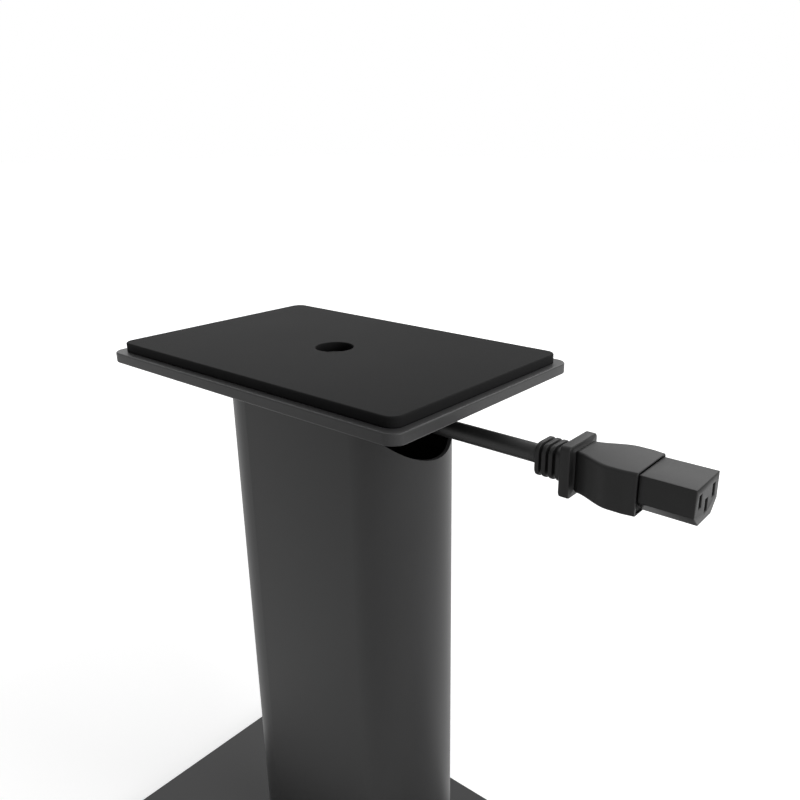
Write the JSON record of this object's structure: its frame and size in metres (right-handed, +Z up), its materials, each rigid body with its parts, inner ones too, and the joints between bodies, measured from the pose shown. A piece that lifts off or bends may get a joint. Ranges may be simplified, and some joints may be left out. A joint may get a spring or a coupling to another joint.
{
  "type": "speaker stand",
  "caption": "Short steel speaker stand with a turning top plate and rubber mat, a hollow obround column, a flat base on screw feet and a mains lead through the column.",
  "frame": {"origin": "on the floor, under the middle of the base", "axes": "+Z up, +Y to the rear, where the mains lead leaves the column, +X to the right seen from the front"},
  "size_m": [0.2, 0.4728, 0.38],
  "materials": {
    "powder_coat": "satin dark grey powder coat on steel",
    "mat_rubber": "matt black",
    "foot_rubber": "matt black",
    "black_screw": "black oxide steel",
    "zinc_steel": "bright zinc plate",
    "nylon": "natural nylon",
    "moulded_plastic": "satin black moulding",
    "contact_brass": "bright",
    "lead_sheath": "satin black sheath",
    "tie_plastic": "matt black strap"
  },
  "bodies": {
    "stand": {"column_tube": "powder_coat", "column_head_plate": "powder_coat", "column_foot_plate": "powder_coat", "base_plate": "powder_coat", "base_screws": "black_screw", "upper_glide_disc": "nylon", "lower_glide_disc": "nylon", "connector_grip": "moulded_plastic", "connector_nose": "moulded_plastic", "connector_sleeves": "contact_brass", "cord_top": "lead_sheath", "cord_inside": "lead_sheath", "cord_behind": "lead_sheath", "cord_coil": "lead_sheath", "cord_tail": "lead_sheath", "coil_tie": "tie_plastic", "plug_grip": "moulded_plastic", "plug_blades": "contact_brass", "plug_earth_pin": "contact_brass"},
    "platform": {"top_mat": "mat_rubber", "top_plate": "powder_coat", "pivot_screw": "black_screw", "pivot_nut": "zinc_steel", "pivot_washer": "zinc_steel"},
    "front_left_pad": {"foot_pad_front_left": "foot_rubber"},
    "front_left_stud": {"foot_stud_front_left": "zinc_steel"},
    "front_right_pad": {"foot_pad_front_right": "foot_rubber"},
    "front_right_stud": {"foot_stud_front_right": "zinc_steel"},
    "rear_left_pad": {"foot_pad_rear_left": "foot_rubber"},
    "rear_left_stud": {"foot_stud_rear_left": "zinc_steel"},
    "rear_right_pad": {"foot_pad_rear_right": "foot_rubber"},
    "rear_right_stud": {"foot_stud_rear_right": "zinc_steel"}
  },
  "joints": [
    {"name": "platform_swivel", "type": "hinge", "parent": "stand", "child": "platform", "pos_m": [0, 0, 0.3695], "axis": [0, 0, 1], "continuous": true},
    {"name": "front_left_drop", "type": "slide", "parent": "stand", "child": "front_left_pad", "axis": [0, 0, -1], "range_m": [0, 0.003]},
    {"name": "front_left_turn", "type": "hinge", "parent": "front_left_pad", "child": "front_left_stud", "pos_m": [-0.08, -0.145, 0.008], "axis": [0, 0, 1], "range_deg": [0, 1080]},
    {"name": "front_right_drop", "type": "slide", "parent": "stand", "child": "front_right_pad", "axis": [0, 0, -1], "range_m": [0, 0.003]},
    {"name": "front_right_turn", "type": "hinge", "parent": "front_right_pad", "child": "front_right_stud", "pos_m": [0.08, -0.145, 0.008], "axis": [0, 0, 1], "range_deg": [0, 1080]},
    {"name": "rear_left_drop", "type": "slide", "parent": "stand", "child": "rear_left_pad", "axis": [0, 0, -1], "range_m": [0, 0.003]},
    {"name": "rear_left_turn", "type": "hinge", "parent": "rear_left_pad", "child": "rear_left_stud", "pos_m": [-0.08, 0.145, 0.008], "axis": [0, 0, 1], "range_deg": [0, 1080]},
    {"name": "rear_right_drop", "type": "slide", "parent": "stand", "child": "rear_right_pad", "axis": [0, 0, -1], "range_m": [0, 0.003]},
    {"name": "rear_right_turn", "type": "hinge", "parent": "rear_right_pad", "child": "rear_right_stud", "pos_m": [0.08, 0.145, 0.008], "axis": [0, 0, 1], "range_deg": [0, 1080]}
  ],
  "couplings": [
    {"joint": "front_left_drop", "follows": "front_left_turn", "m_per_rad": 0.00015915},
    {"joint": "front_right_drop", "follows": "front_right_turn", "m_per_rad": 0.00015915},
    {"joint": "rear_left_drop", "follows": "rear_left_turn", "m_per_rad": 0.00015915},
    {"joint": "rear_right_drop", "follows": "rear_right_turn", "m_per_rad": 0.00015915}
  ]
}
